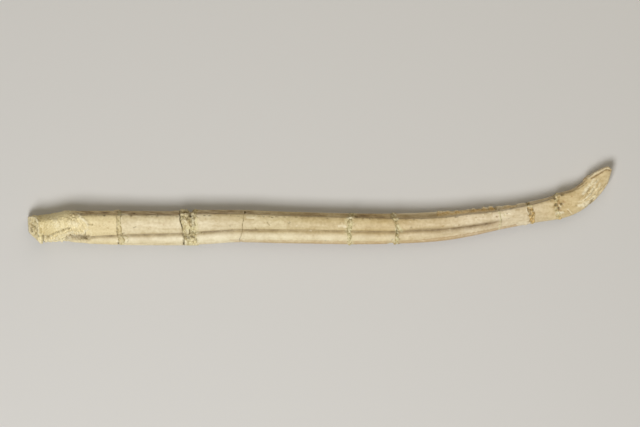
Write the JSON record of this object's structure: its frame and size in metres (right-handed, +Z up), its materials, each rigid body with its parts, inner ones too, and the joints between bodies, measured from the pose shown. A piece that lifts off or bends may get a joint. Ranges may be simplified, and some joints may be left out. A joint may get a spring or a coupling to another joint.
{
  "type": "baculum",
  "caption": "Mended baculum of a large carnivoran: long grooved bone with a broken spongy base and an upturned blade-like tip, lying on its side.",
  "frame": {"origin": "middle of the box that the bone fills, on the ground it lies on", "axes": "+X runs along the bone from its broken base to its tip, +Y is the side of the long groove, towards which the tip curves, +Z is up"},
  "size_m": [0.2358, 0.0318, 0.0115],
  "materials": {
    "compact_bone": "satin, consolidated surface",
    "spongy_bone": "matte, porous",
    "putty": "matte, lumpy"
  },
  "bodies": {
    "root": {"base": "spongy_bone", "shaft_1": "compact_bone", "shaft_2": "compact_bone", "shaft_3": "compact_bone", "shaft_4": "compact_bone", "shaft_5": "compact_bone", "shaft_6": "compact_bone", "shaft_7": "compact_bone", "tip": "compact_bone", "mend_1": "putty", "mend_2": "putty", "mend_3": "putty", "mend_4": "putty", "mend_5": "putty", "mend_6": "putty"}
  },
  "joints": []
}
